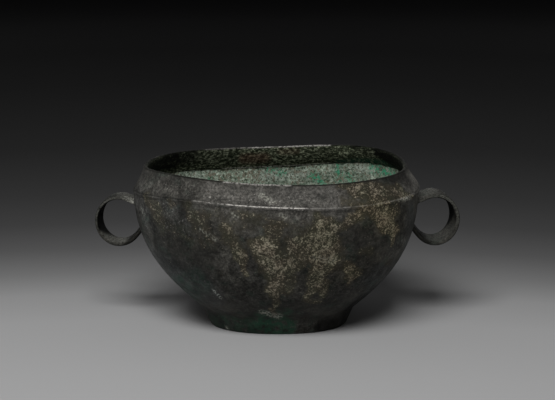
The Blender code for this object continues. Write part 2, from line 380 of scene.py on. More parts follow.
def stitch(first, second):
    """Faces between two rings, the longer one with as many or twice as many points."""
    count = min(len(first), len(second))
    nxt = [(column + 1) % count for column in range(count)]
    if len(first) == len(second):
        return [(first[c], first[nxt[c]], second[nxt[c]], second[c]) for c in range(count)]
    faces = []
    for column in range(count):
        left, middle, right = 2 * column, 2 * column + 1, (2 * column + 2) % (2 * count)
        if len(first) < len(second):
            start, end = first[column], first[nxt[column]]
            faces.append((start, second[middle], second[left]))
            faces.append((start, end, second[middle]))
            faces.append((end, second[right], second[middle]))
        else:
            start, end = second[column], second[nxt[column]]
            faces.append((first[left], first[middle], start))
            faces.append((first[middle], end, start))
            faces.append((first[middle], first[right], end))
    return faces


def bowl_mesh():
    angles = {COLUMNS: even_angles(COLUMNS)}
    angles[COLUMNS // 2] = angles[COLUMNS][::2]
    points = []
    faces = []
    before = None
    start = 0
    for station, count in bowl_rings():
        points.append(place(station, angles[count]))
        ring = list(range(start, start + count))
        start += count
        if before:
            faces += stitch(before, ring)
        else:
            first = ring
        before = ring
    underside = points[0][:, 2].mean()
    floor = points[-1][:, 2].mean()
    points.append(np.array([(0, 0, underside), (0, 0, floor)]))
    count = len(first)
    for column in range(count):
        nxt = (column + 1) % count
        faces.append((start, first[nxt], first[column]))
        faces.append((start + 1, before[column], before[nxt]))
    return np.vstack(points), faces


# The handles


def wall_reach(side, height):
    """X of the outside of the wall at one end of the oval, at a height."""
    angle = np.array([0.0 if side > 0 else math.pi])
    points = np.vstack([place(station, angle) for station in outer_stations(SOLID_STEPS)])
    return float(np.interp(height, points[:, 2], points[:, 0]))


def loop_point(handle, centre, angle):
    return centre + np.array((handle.side * handle.run * math.cos(angle), 0, handle.rise * math.sin(angle)))


def loop_tangent(handle, angle):
    tangent = np.array((-handle.side * handle.run * math.sin(angle), 0, handle.rise * math.cos(angle)))
    return tangent / np.linalg.norm(tangent)


def into_wall(handle, start, direction):
    """Where a straight run from start reaches the middle of the wall."""
    end = start
    for _ in range(8):
        target = wall_reach(handle.side, end[2]) - handle.side * WALL / 2
        end = start + direction * ((target - start[0]) / direction[0])
    return end


def handle_path(handle):
    """Middle line of the strap, from its upper end in the wall round to its lower one."""
    away = handle.side * (SHOULDER_LENGTH / 2 + handle.reach - handle.run)
    centre = np.array((BOWL_SHIFT + away, 0.0, SHOULDER_HEIGHT - handle.drop))
    angles = np.linspace(LOOP_TOP, LOOP_LOW, LOOP_STEPS + 1)
    loop = np.array([loop_point(handle, centre, angle) for angle in angles])
    top = into_wall(handle, loop[0], loop_tangent(handle, LOOP_TOP))
    low = into_wall(handle, loop[-1], -loop_tangent(handle, LOOP_LOW))
    upper = [mix(top, loop[0], step / STRAIGHT_STEPS) for step in range(STRAIGHT_STEPS)]
    lower = [mix(loop[-1], low, (step + 1) / STRAIGHT_STEPS) for step in range(STRAIGHT_STEPS)]
    return np.vstack([upper, loop, lower])


def strap_section(width, thickness):
    """Points across the strap: a crowned outside, rounded edges and a nearly flat inside."""
    bevel = thickness * STRAP_BEVEL
    flat = width / 2 - bevel
    across = np.linspace(-flat, flat, 13)
    outside = [(x, thickness / 2 + STRAP_CROWN * (1 - (x / flat) ** 2)) for x in across]
    turns = np.linspace(math.pi / 2, -math.pi / 2, 6)[1:-1]
    right = [(flat + bevel * math.cos(t), thickness / 2 * math.sin(t)) for t in turns]
    inside = [(x, -thickness / 2 + STRAP_INSIDE_CROWN * (1 - (x / flat) ** 2)) for x in across[::-2]]
    left = [(-x, z) for x, z in right[::-1]]
    return np.array(outside + right + inside + left)


def strap_mesh(handle):
    path = handle_path(handle)
    before = np.vstack((path[:1], path[:-1]))
    after = np.vstack((path[1:], path[-1:]))
    along = after - before
    along /= np.linalg.norm(along, axis=1)[:, None]
    travelled = way_along(path)
    length = travelled[-1]
    points = []
    for index, (point, gone) in enumerate(zip(path, travelled)):
        outward = np.array((-along[index][2], 0, along[index][0])) * handle.side
        free = smooth(min(gone, length - gone) / TWIST_LENGTH)
        twist = -handle.side * handle.twist * free
        aside = np.array((math.sin(twist), math.cos(twist), 0))
        lean = mix(-STRAP_TOP_LEAN, STRAP_LOW_LEAN, smooth(4 * (gone / length - LEANS_FROM)))
        lean = math.tan(lean) * free
        flare = 1 - smooth(gone / STRAP_FLARE_LENGTH)
        lower = smooth(2 * (gone / length - THICKENS_FROM))
        thickness = mix(handle.thickness, handle.low_thickness, lower)
        section = strap_section(handle.width + 2 * STRAP_FLARE * flare, thickness)
        for across, away in section:
            points.append(point + aside * across + outward * (away - across * lean))
    corners = len(section)
    rings = [list(range(index * corners, (index + 1) * corners)) for index in range(len(path))]
    faces = []
    for first, second in zip(rings, rings[1:]):
        faces += stitch(first, second)
    faces.append(tuple(reversed(rings[0])))
    faces.append(tuple(rings[-1]))
    if handle.side < 0:
        faces = [tuple(reversed(face)) for face in faces]
    return np.array(points), faces


def new_object(name, points, faces):
    data = bpy.data.meshes.new(name)
    data.from_pydata(points.tolist(), [], faces)
    data.update()
    item = bpy.data.objects.new(name, data)
    bpy.context.scene.collection.objects.link(item)
    return item


def one_casting(material):
    """The bowl and both straps as one closed mesh, its vertices on a strap, and those on a joint."""
    bowl = new_object("bronze_dish_skin", *bowl_mesh())
    marker = bpy.data.materials.new("strap_marker")
    bowl.data.materials.append(material)
    straps = []
    for name, handle in zip(("left_strap", "right_strap"), HANDLES):
        strap = new_object(name, *strap_mesh(handle))
        strap.data.materials.append(marker)
        straps.append(strap)
        union = bowl.modifiers.new(name, "BOOLEAN")
        union.operation = "UNION"
        union.solver = "EXACT"
        union.material_mode = "TRANSFER"
        union.object = strap
    graph = bpy.context.evaluated_depsgraph_get()
    united = bpy.data.meshes.new_from_object(bowl.evaluated_get(graph))
    bowl.modifiers.clear()
    bowl.data = united
    for strap in straps:
        bpy.data.objects.remove(strap)
    names = [slot.name if slot else "" for slot in united.materials]
    marked = [index for index, name in enumerate(names) if name == marker.name]
    count = len(united.vertices)
    from_strap = np.zeros(count, bool)
    from_bowl = np.zeros(count, bool)
    for face in united.polygons:
        target = from_strap if face.material_index in marked else from_bowl
        target[list(face.vertices)] = True
        face.material_index = 0
    united.materials.clear()
    united.materials.append(material)
    bpy.data.materials.remove(marker)
    return bowl, from_strap, from_strap & from_bowl


def read_points(data, name="co"):
    """Place of each vertex, or its normal under that name."""
    values = np.empty(len(data.vertices) * 3)
    data.vertices.foreach_get(name, values)
    return values.reshape(-1, 3)


def write_points(data, points):
    data.vertices.foreach_set("co", points.ravel())
    data.update()


def near(points, marked, distance):
    """1 at the marked points, falling to 0 at a distance from them."""
    tree = KDTree(int(marked.sum()))
    for index, point in enumerate(points[marked]):
        tree.insert(point, index)
    tree.balance()
    share = np.zeros(len(points))
    close = np.zeros(len(points), bool)
    for centre in (points[marked & (points[:, 0] < 0)], points[marked & (points[:, 0] > 0)]):
        low, high = centre.min(axis=0) - distance, centre.max(axis=0) + distance
        close |= ((points > low) & (points < high)).all(axis=1)
    for index in np.flatnonzero(close):
        share[index] = 1 - tree.find(points[index])[2] / distance
    return smooth(share)


def relax(data, weight):
    """Evens out the mesh where weight is above 0, as a soft fillet."""
    points = read_points(data)
    edges = np.empty(len(data.edges) * 2, int)
    data.edges.foreach_get("vertices", edges)
    edges = edges.reshape(-1, 2)
    edges = edges[(weight[edges] > 0).any(axis=1)]
    share = FILLET_SHARE * weight[:, None]
    for _ in range(FILLET_ROUNDS):
        total = np.zeros_like(points)
        count = np.zeros(len(points))
        for one, other in ((0, 1), (1, 0)):
            np.add.at(total, edges[:, one], points[edges[:, other]])
            np.add.at(count, edges[:, one], 1)
        middle = total / np.maximum(count, 1)[:, None]
        points = np.where(share > 0, mix(points, middle, share), points)
    write_points(data, points)


# Camera, floor and light

CAMERA_AT = (0.00020, -0.600, 0.180)
LOOK_AT = (0.00020, 0, 0.0617)
LENS = 79.3
Light = namedtuple("Light", "place_at aim_height size power")
KEY_LIGHT = Light((-0.15, -0.70, 0.86), 0.03, (0.64, 0.36), 8.6)
FLOOR_LIGHT = Light((0.0, 0.0, 1.5), 0.0, (4.5, 4.5), 5.0)
DISH_LIGHTS = {
    "fill_back": Light((0.0, 1.1, 0.42), 0.04, (0.9, 0.5), 0.8),
    "fill_back_high": Light((0.0, 0.95, 0.80), 0.04, (0.8, 0.4), 1.4),
    "side_left": Light((-0.90, -0.35, 0.14), 0.05, (0.5, 0.4), 1.5),
    "side_right": Light((0.85, -0.40, 0.40), 0.05, (0.5, 0.4), 0.8),
    "fill_left": Light((-0.90, 0.50, 0.18), 0.04, (0.5, 0.4), 0.20),
    "fill_right": Light((0.90, 0.50, 0.24), 0.04, (0.5, 0.4), 0.15),
}
DISH_LIGHT_SPREAD = 120
STUDIO_DARK = (0.008, 0.008, 0.0082, 1)
FLOOR_REACH = 8.0

# The floor's painted falloff of light: it darkens to the back, from a bowed line that lies FADE_START in
# front of the dish's middle and curves round it as a pool of light does. A shade's position is the distance
# behind that line, in doublings over FADE_STEPS.
FADE_ASIDE = 0.03
FADE_BOW = 0.8
FADE_START = 0.1
FADE_RATE = 10.0
FADE_STEPS = 6
FLOOR_SHADES = (
    (0.04, 0.521),
    (0.167, 0.507),
    (0.222, 0.443),
    (0.264, 0.281),
    (0.308, 0.159),
    (0.356, 0.092),
    (0.410, 0.063),
    (0.500, 0.036),
    (0.643, 0.030),
    (0.732, 0.037),
    (0.840, 0.084),
)


def aim(item, target):
    item.rotation_euler = (Vector(target) - item.location).to_track_quat("-Z", "Y").to_euler()


def make_camera():
    data = bpy.data.cameras.new("camera")
    data.sensor_fit = "HORIZONTAL"
    data.sensor_width = 36
    data.lens = LENS
    data.clip_start = 0.01
    camera = bpy.data.objects.new("camera", data)
    camera.location = CAMERA_AT
    aim(camera, LOOK_AT)
    bpy.context.scene.collection.objects.link(camera)
    bpy.context.scene.camera = camera


def soft_light(name, light, spread=180, only=None):
    data = bpy.data.lights.new(name, "AREA")
    data.shape = "RECTANGLE"
    data.size, data.size_y = light.size
    data.energy = light.power
    data.spread = math.radians(spread)
    item = bpy.data.objects.new(name, data)
    item.location = light.place_at
    aim(item, (0, 0, light.aim_height))
    item.visible_camera = False
    item.light_linking.receiver_collection = only
    bpy.context.scene.collection.objects.link(item)


def group_of_one(name, item):
    """A collection that limits a light to one thing."""
    group = bpy.data.collections.new(name)
    group.objects.link(item)
    return group


def make_lights(dish, floor):
    """A soft light above the front, one for the floor alone, and weak ones for the dish's other sides."""
    soft_light("key_light", KEY_LIGHT)
    soft_light("floor_fill", FLOOR_LIGHT, only=group_of_one("floor_only", floor))
    dish_only = group_of_one("dish_only", dish)
    for name, light in DISH_LIGHTS.items():
        soft_light(name, light, DISH_LIGHT_SPREAD, dish_only)
    world = bpy.data.worlds.new("dim_studio")
    world.use_nodes = True
    world.node_tree.nodes["Background"].inputs["Color"].default_value = STUDIO_DARK
    bpy.context.scene.world = world


# Materials

# The Mix node's sockets for colour
MIX_FIRST = 6
MIX_SECOND = 7
MIX_RESULT = 2

# Levels on the dish in millimetres
LIP_FROM = 79.9
LIP_TO = 80.4
RIDGE_LEVEL = 70.4
RIDGE_HALF = 0.34


class Finish:
    """A new material, with short calls for the nodes that its colour and relief are made of."""

    def __init__(self, name):
        self.material = bpy.data.materials.new(name)
        self.material.use_nodes = True
        self.tree = self.material.node_tree
        self.shader = self.tree.nodes["Principled BSDF"]
        self.place = self.tree.nodes.new("ShaderNodeTexCoord").outputs["Object"]

    def feed(self, socket, value):
        if isinstance(value, bpy.types.NodeSocket):
            self.tree.links.new(value, socket)
        elif isinstance(value, tuple) and len(value) == 3 and socket.type == "RGBA":
            socket.default_value = (*value, 1)
        else:
            socket.default_value = value

    def node(self, kind, inputs, output=0, **settings):
        """Output of a new node, with its inputs by name or number."""
        node = self.tree.nodes.new("ShaderNode" + kind)
        for name, value in settings.items():
            setattr(node, name, value)
        for name, value in inputs.items():
            self.feed(node.inputs[name], value)
        return node.outputs[output]

    def noise(self, size, detail=2.0, roughness=0.5, distortion=0.0, shift=0.0, flat=1.0):
        """Noise with features of a size in metres, flatter or taller by flat, from 0 to 1."""
        moves = {0: self.place, 1: (1.0, 1.0, flat), 2: (shift, shift * 0.7, -shift)}
        moved = self.node("VectorMath", moves, operation="MULTIPLY_ADD")
        inputs = {"Vector": moved, "Scale": 1 / size, "Detail": detail}
        return self.node("TexNoise", inputs | {"Roughness": roughness, "Distortion": distortion}, "Fac")

    def field(self, name, *shares):
        """A field of the mesh, times any shares."""
        return self.times(self.node("Attribute", {}, "Fac", attribute_name=name), *shares)

    def sum(self, operation, *values):
        total = values[0]
        for value in values[1:]:
            total = self.node("Math", {0: total, 1: value}, operation=operation)
        return total

    def add(self, *values):
        return self.sum("ADD", *values)

    def times(self, *values):
        return self.sum("MULTIPLY", *values)

    def span(self, value, low, high, first=0.0, last=1.0):
        """Value stretched so that low gives first and high gives last, with soft ends."""
        inputs = {"Value": value, "From Min": low, "From Max": high, "To Min": first, "To Max": last}
        return self.node("MapRange", inputs, "Result", interpolation_type="SMOOTHSTEP")

    def mix(self, share, first, second, blend="MIX"):
        inputs = {"Factor": share, MIX_FIRST: first, MIX_SECOND: second}
        return self.node("Mix", inputs, MIX_RESULT, data_type="RGBA", blend_type=blend)

    def ramp(self, value, *stops):
        """Colour by value. A stop is a position and a colour."""
        node = self.tree.nodes.new("ShaderNodeValToRGB")
        elements = node.color_ramp.elements
        while len(elements) < len(stops):
            elements.new(0.5)
        for element, (position, colour) in zip(elements, stops):
            element.position = position
            element.color = (*colour, 1)
        self.feed(node.inputs["Fac"], value)
        return node.outputs["Color"]

    def bump(self, height, distance):
        return self.node("Bump", {"Height": height, "Distance": distance}, "Normal")

    def finish(self, **inputs):
        for name, value in inputs.items():
            self.feed(self.shader.inputs[name.replace("_", " ")], value)
        return self.material


def grey(value):
    return (value, value, value * 1.005)


def floor_with_painted_falloff():
    """Pale paper with the falloff of a pool of light painted on: shaded off to dark grey behind, as a graded
    studio background is.
    """
    finish = Finish("pale_floor")
    split = finish.tree.nodes.new("ShaderNodeSeparateXYZ")
    finish.feed(split.inputs[0], finish.place)
    aside = finish.add(split.outputs["X"], FADE_ASIDE)
    bowed = finish.add(split.outputs["Y"], finish.times(aside, aside, FADE_BOW), FADE_START)
    depth = finish.sum("MAXIMUM", bowed, 0.0)
    steps = finish.sum("LOGARITHM", finish.add(finish.times(depth, FADE_RATE), 1.0), 2.0)
    shades = [(position, grey(shade)) for position, shade in FLOOR_SHADES]
    colour = finish.ramp(finish.times(steps, 1 / FADE_STEPS), *shades)
    return finish.finish(Base_Color=colour, Roughness=0.8)


def make_floor():
    reach = FLOOR_REACH
    corners = np.array([(-reach, -reach, 0), (reach, -reach, 0), (reach, reach, 0), (-reach, reach, 0)])
    floor = new_object("floor", corners, [(0, 1, 2, 3)])
    floor.data.materials.append(floor_with_painted_falloff())
    return floor


def crusted(finish, skin):
    """Burial crust over the skin: a brown stain, and on it broken grains of beige and olive."""
    crust = finish.field("crust")
    lumps = finish.add(finish.noise(0.0034, 3, 0.6, shift=3.0), -0.5)
    clumps = finish.add(finish.noise(0.0017, 2, 0.6, 0.8, shift=23.0), -0.5)
    grains = finish.add(finish.noise(0.00075, 3, 0.7, 0.6, shift=5.0), -0.5)
    hue = finish.noise(0.0060, 2, 0.5, shift=7.0)
    earth = finish.ramp(hue, (0.38, (0.034, 0.033, 0.022)), (0.62, (0.037, 0.032, 0.022)))
    stain = finish.span(finish.add(crust, finish.times(lumps, 0.8)), 0.0, 0.75, 0.0, 0.92)
    skin = finish.mix(stain, skin, earth)
    rough = finish.add(finish.times(lumps, 0.6), finish.times(clumps, 1.3), finish.times(grains, 1.4))
    mask = finish.span(finish.add(finish.times(crust, 0.56), rough), 0.36, 0.60)
    low = finish.ramp(hue, (0.38, (0.056, 0.054, 0.035)), (0.62, (0.062, 0.053, 0.037)))
    high = finish.ramp(hue, (0.38, (0.258, 0.239, 0.178)), (0.62, (0.254, 0.222, 0.168)))
    shade = finish.span(finish.noise(0.0010, 3, 0.7, 1.0, shift=9.0), 0.40, 0.62)
    return finish.mix(mask, skin, finish.mix(shade, low, high)), mask


def bronze_skin(finish):
    """Dark patina, mottled, greener or browner from place to place, with a few pale specks."""
    blotches = finish.noise(0.020, 4, 0.55)
    skin = finish.ramp(blotches, (0.35, (0.0190, 0.0190, 0.0168)), (0.65, (0.0355, 0.0340, 0.0290)))
    tint = finish.span(finish.noise(0.0075, 3, 0.6, shift=16.0), 0.52, 0.70, 0.0, 0.6)
    skin = finish.mix(tint, skin, (0.0170, 0.0260, 0.0200))
    dusty = finish.field("dusty", finish.span(finish.noise(0.005, 4, 0.6), 0.20, 0.55, 0.5))
    skin = finish.mix(dusty, skin, (0.080, 0.076, 0.068))
    smoother = finish.add(1.0, finish.times(dusty, -0.85))
    calm = finish.add(1.0, finish.field("calm", -0.6))
    mottles = (
        (finish.noise(0.0012, 4, 0.75, shift=1.0), 0.45, 1.70, calm),
        (finish.noise(0.0048, 3, 0.65, shift=17.0), 0.52, 1.55, finish.times(smoother, calm)),
    )
    for pattern, dim, bright, share in mottles:
        mottle = finish.ramp(pattern, (0.37, grey(dim)), (0.50, grey(0.95)), (0.63, grey(bright)))
        skin = finish.mix(share, skin, mottle, "MULTIPLY")
    teal = finish.field("teal", finish.span(finish.noise(0.003, 3, 0.6, shift=2.0), 0.30, 0.60))
    skin = finish.mix(teal, skin, (0.015, 0.047, 0.028))
    specks = finish.span(finish.noise(0.0011, 2, 0.6, shift=4.0), 0.67, 0.74, 0.0, 0.7)
    skin = finish.mix(specks, skin, (0.110, 0.105, 0.090))
    crumbs = finish.span(finish.noise(0.0010, 3, 0.7, shift=18.0), 0.60, 0.68)
    return finish.mix(finish.field("crumbs", crumbs), skin, (0.320, 0.310, 0.280))


def verdigris_coat(finish, skin):
    """Pale green corrosion inside, with dark and whitish grains and brighter streaks."""
    cover = finish.field("verdigris")
    grains = finish.noise(0.0012, 3, 0.65, 0.4, shift=6.0)
    spots = finish.add(finish.times(cover, 1.1), finish.times(finish.add(grains, -0.5), 1.1))
    mask = finish.span(spots, 0.38, 0.62)
    tone = finish.noise(0.0016, 4, 0.75, shift=8.0)
    coat = finish.ramp(
        tone,
        (0.37, (0.090, 0.125, 0.092)),
        (0.50, (0.225, 0.288, 0.220)),
        (0.62, (0.470, 0.520, 0.440)),
    )
    blotches = finish.noise(0.011, 3, 0.6, shift=25.0)
    coat = finish.mix(1.0, coat, finish.ramp(blotches, (0.36, grey(0.80)), (0.64, grey(1.20))), "MULTIPLY")
    coat = finish.mix(finish.field("whitish"), coat, (0.500, 0.530, 0.480))
    streak = finish.span(finish.noise(0.0018, 3, 0.65, 0.5, shift=11.0), 0.44, 0.56)
    coat = finish.mix(finish.field("emerald", streak), coat, (0.040, 0.320, 0.180))
    patches = finish.noise(0.0017, 3, 0.7, shift=20.0)
    sandy = finish.add(finish.field("sandy", 0.10), patches)
    brown = finish.span(sandy, 0.53, 0.61, 0.0, 0.80)
    coat = finish.mix(brown, coat, (0.190, 0.160, 0.120))
    dark = finish.span(finish.noise(0.0011, 3, 0.75, shift=12.0), 0.53, 0.60, 0.0, 0.88)
    coat = finish.mix(dark, coat, (0.040, 0.048, 0.032))
    return finish.mix(mask, skin, coat), mask


def inner_neck(finish, skin):
    """Inside of the neck: green-brown with pale grains, reddish in places, and deep green with painted shade
    by the ridge; the near black painted shade at its ends is added in bronze_material.
    """
    speckle = finish.noise(0.0017, 4, 0.7, 0.4, shift=13.0, flat=1.7)
    olive = finish.ramp(
        speckle,
        (0.40, (0.006, 0.009, 0.004)),
        (0.52, (0.036, 0.042, 0.025)),
        (0.64, (0.230, 0.250, 0.175)),
    )
    reddish = finish.ramp(speckle, (0.42, (0.018, 0.010, 0.006)), (0.66, (0.140, 0.092, 0.062)))
    olive = finish.mix(finish.field("reddish"), olive, reddish)
    skin = finish.mix(finish.field("inside"), skin, olive)
    # Deep green patina with painted shade low in the neck, by the ridge
    green = finish.field("deep_green_and_shade", finish.span(speckle, 0.35, 0.60, 1.0, 0.4))
    return finish.mix(green, skin, (0.006, 0.040, 0.024))


def highlit_and_worn_edges(finish, skin):
    """Thin broken lines along the shoulder's edge and the lip, painted highlights on those edges with worn
    bare metal, and painted shadow under the ridge's ledge where it isn't worn; the lip is dark elsewhere.
    """
    level = finish.field("level")
    above = finish.add(level, -RIDGE_LEVEL)
    close = finish.span(finish.times(above, above), RIDGE_HALF**2, 0.01)
    lip = finish.span(level, LIP_FROM, LIP_TO)
    skin = finish.mix(finish.times(lip, 0.75), skin, (0.010, 0.010, 0.008))
    wear_and_highlight = finish.field("wear_and_highlight")
    # Painted shadow under the ridge's ledge, where the edge isn't worn
    ledge_shadow = finish.times(close, finish.span(wear_and_highlight, 0.0, 0.2, 0.6, 0.0))
    skin = finish.mix(ledge_shadow, skin, (0.007, 0.007, 0.006))
    broken = finish.span(finish.noise(0.0011, 3, 0.7, shift=15.0), 0.38, 0.54)
    # Painted highlights on the ridge's edge and the lip, with worn bare metal
    bare = finish.times(finish.add(close, lip), broken, wear_and_highlight)
    return finish.mix(bare, skin, (0.450, 0.430, 0.400))


def straps(finish, skin):
    """Straps a little nearer black than the bowl, with painted highlights and rubs in patches on their front
    edges and tops, and painted light low inside.
    """
    skin = finish.mix(finish.field("strap", 0.18), skin, (0.004, 0.004, 0.003))
    patchy = finish.span(finish.noise(0.0010, 3, 0.7, shift=19.0, flat=1.6), 0.36, 0.62)
    # Painted highlights and painted light on the straps, broken in patches like rubs
    return finish.mix(finish.field("highlight_and_rub", patchy), skin, (0.300, 0.300, 0.265))


def bronze_material():
    """The whole finish. Corrosion, the inner neck, the straps and the lip are matt, the rest has a sheen."""
    finish = Finish("aged_bronze_finish")
    skin = inner_neck(finish, bronze_skin(finish))
    skin, green = verdigris_coat(finish, skin)
    skin, crust = crusted(finish, skin)
    flake = finish.field("flake", finish.span(finish.noise(0.0010, 3, 0.7), 0.47, 0.58))
    skin = finish.mix(flake, skin, (0.300, 0.300, 0.255))
    skin = straps(finish, highlit_and_worn_edges(finish, skin))
    # Ochre and cool are tones of the skin; the other two multiply in painted light (with a pale place in the
    # neck) and painted shade
    tints = (
        ("ochre", (1.08, 1.00, 0.82)),
        ("cool", (0.93, 1.00, 1.12)),
        ("painted_light_and_pale", grey(1.9)),
        ("painted_shade", grey(0.18)),
    )
    for name, tint in tints:
        skin = finish.mix(finish.field(name), skin, tint, "MULTIPLY")
    grains = finish.span(finish.noise(0.0014, 3, 0.7, shift=24.0), 0.52, 0.62, 0.0, 0.22)
    # Painted shade, near black: the inside's ends, the lip at the right back and the straps' shadowed parts,
    # with dark patina; grains break it inside the neck
    dark = finish.field("dark", finish.add(1.0, finish.field("inside", grains, -1.0)))
    skin = finish.mix(dark, skin, (0.0010, 0.0012, 0.0007))
    matt_strap = finish.field("strap", 0.8)
    matt_lip = finish.span(finish.field("level"), LIP_FROM, LIP_TO, 0.0, 0.9)
    dull = finish.sum("MAXIMUM", green, crust, finish.field("inside"), dark, matt_strap, matt_lip)
    sheen = finish.ramp(finish.noise(0.004, 3), (0.3, grey(0.48)), (0.7, grey(0.70)))
    roughness = finish.mix(dull, sheen, grey(1.0))
    fine = finish.noise(0.0012, 4, 0.65, shift=1.0)
    coarse = finish.add(finish.times(crust, 0.8), finish.times(green, 0.4), finish.times(fine, 0.7))
    relief = finish.bump(coarse, 0.00024)
    return finish.finish(
        Base_Color=skin,
        Roughness=roughness,
        Metallic=0.15,
        Specular_IOR_Level=0.10,
        Normal=relief,
    )


# Where the corrosion, the painted light and the painted shade lie, as patches along a line from one place to
# another

# Each row is one patch: direction and height at its start and at its end, its width at both, and its
# strength. On the outside, those from 28 to 165 degrees are at the back, which the photo doesn't show, so
# they are invented.
Patch = namedtuple("Patch", "turn level end_turn end_level width end_width strength")
# Millimetres that a degree round the oval counts for
DEGREE = 1.1
# Where a patch ends, in widths from its middle
PATCH_EDGE = 1.35

CRUST = (
    (285, 60, 287, 45, 7.5, 8.5, 1),
    (277, 54, 276, 44, 5, 5, 0.8),
    (286, 42, 283, 25, 6, 3, 0.9),
    (288, 31, 290, 25, 3, 3, 0.75),
    (283, 66, 287, 61, 3, 4, 0.6),
    (265, 52, 269, 42, 5, 6, 0.8),
    (270, 61, 268, 50, 3.5, 4, 0.6),
    (269, 42, 269, 26, 5, 3, 0.8),
    (269, 28, 268, 13, 2.5, 1.5, 0.75),
    (274, 40, 273, 28, 4, 4, 0.55),
    (254, 58, 257, 48, 3.5, 4, 0.65),
    (257, 48, 259, 37, 3.5, 2, 0.8),
    (299, 38, 303, 34, 4.5, 4.5, 0.8),
    (294, 39, 299, 37, 2.5, 3.5, 0.25),
    (303, 69, 320, 66, 3.5, 4.5, 0.6),
    (309, 68, 316, 60, 5.5, 5.5, 0.8),
    (312, 62, 321, 55, 5, 5, 0.95),
    (320, 54, 322, 48, 4, 2.5, 0.65),
    (303, 69, 292, 61, 3, 3, 0.75),
    (294, 79, 302, 77, 2.5, 3, 0.55),
    (300, 77, 313, 75, 3.5, 4.5, 0.68),
    (311, 76, 326, 73, 4, 4, 0.75),
    (326, 73, 335, 71, 3, 2, 0.7),
    (294, 73, 300, 71, 2.5, 2.5, 0.5),
    (238, 67, 241, 61, 4, 3.5, 0.62),
    (244, 64, 246, 58, 3, 2.5, 0.45),
    (212, 68, 220, 62, 4.5, 6, 0.66),
    (227, 68, 231, 66, 2, 2.5, 0.5),
    (222, 56, 246, 53, 5, 6, 0.32),
    (248, 65, 262, 62, 4, 5, 0.32),
    (262, 65, 276, 62, 4, 4, 0.34),
    (302, 50, 309, 45, 2.5, 2.5, 0.45),
    (321, 40, 327, 37, 2.5, 3, 0.35),
    (283, 22, 291, 20, 2, 1.5, 0.55),
    (60, 62, 75, 50, 7, 8, 0.9),
    (75, 50, 82, 34, 6, 4, 0.75),
    (112, 60, 128, 66, 5, 4, 0.65),
    (95, 76, 118, 74, 3, 3.5, 0.6),
    (140, 48, 150, 38, 5, 4, 0.6),
    (28, 40, 36, 28, 4, 3, 0.55),
)
DUSTY = (
    (190, 76, 246, 75, 5, 6, 0.3),
    (248, 76, 290, 75, 7, 7, 0.8),
    (288, 78, 300, 73, 4, 3, 0.35),
    (334, 74, 356, 73, 5, 6.5, 0.7),
    (196, 66, 222, 65, 5, 4.5, 0.38),
    (240, 66, 300, 66, 4.5, 4.5, 0.5),
    (254, 60, 274, 59, 4, 4, 0.35),
    (250, 42, 260, 40, 5, 5, 0.25),
    (40, 76, 90, 75, 6, 6, 0.5),
    (130, 76, 165, 75, 6, 6, 0.45),
)
TEAL = (
    (258, 4, 276, 4, 6, 6, 0.9),
    (260, 11, 274, 12, 3.5, 3.5, 0.75),
    (205, 4, 250, 5, 4, 5, 0.45),
    (206, 20, 234, 30, 8, 7, 0.3),
    (335, 12, 350, 18, 5, 4, 0.35),
    (90, 5, 120, 6, 5, 5, 0.55),
)
FLAKE = (
    (240, 26, 241, 22, 1, 1.6, 0.9),
    (204, 62, 207, 61, 1.5, 1.5, 0.6),
    (257, 66, 258, 65, 1.2, 1.2, 0.8),
    (271, 67, 272, 66, 1, 1, 0.8),
    (243, 57, 249, 53, 1, 1, 0.55),
    (262, 14, 270, 11, 1.8, 2.2, 0.85),
    (226, 2, 229, 1, 1.2, 1, 0.8),
    (283, 46, 290, 44, 2, 2, 0.35),
    (322, 70, 334, 69, 0.9, 0.9, 0.6),
    (266, 76, 269, 73, 1.2, 1.2, 0.7),
)
OCHRE = (
    (283, 58, 290, 32, 9, 8, 0.15),
    (304, 66, 322, 58, 10, 10, 0.55),
    (298, 38, 312, 42, 8, 7, 0.4),
)
# Painted light: highlights just above and below the ridge and at the neck's ends, and reflections of the
# bright floor along the bowl's left and right edges
PAINTED_LIGHT = (
    (328, 68, 345, 54, 5, 7, 0.55),
    (318, 46, 340, 44, 5, 6, 0.6),
    (350, 76, 357, 72, 4, 5, 0.6),
    (200, 74, 226, 72, 4, 3, 0.35),
    (196, 26, 206, 52, 9, 8, 0.95),
    (208, 32, 220, 46, 7, 7, 0.35),
    (200, 34, 222, 30, 6, 6, 0.55),
    (246, 67, 298, 67, 2.5, 2.5, 0.28),
    (252, 72.8, 304, 72.8, 1.3, 1.3, 0.3),
    (256, 61, 265, 52, 4, 4, 0.45),
    (257, 34, 288, 24, 5, 4, 0.4),
)
CALM = (
    (198, 22, 236, 16, 14, 12, 1),
    (196, 46, 240, 40, 10, 10, 0.7),
    (240, 13, 335, 14, 9, 9, 0.8),
    (298, 54, 330, 34, 9, 9, 0.6),
    (334, 66, 346, 36, 7, 9, 0.95),
)
COOL = (
    (198, 62, 236, 60, 12, 10, 0.4),
    (198, 34, 232, 26, 16, 14, 0.9),
    (334, 62, 350, 34, 6, 10, 0.65),
    (316, 34, 340, 22, 7, 10, 0.6),
)
# A pale place inside the back of the neck, brightened through the same field as the painted light
PALE_NECK = ((62, 77, 48, 76, 3.0, 3.0, 0.35),)
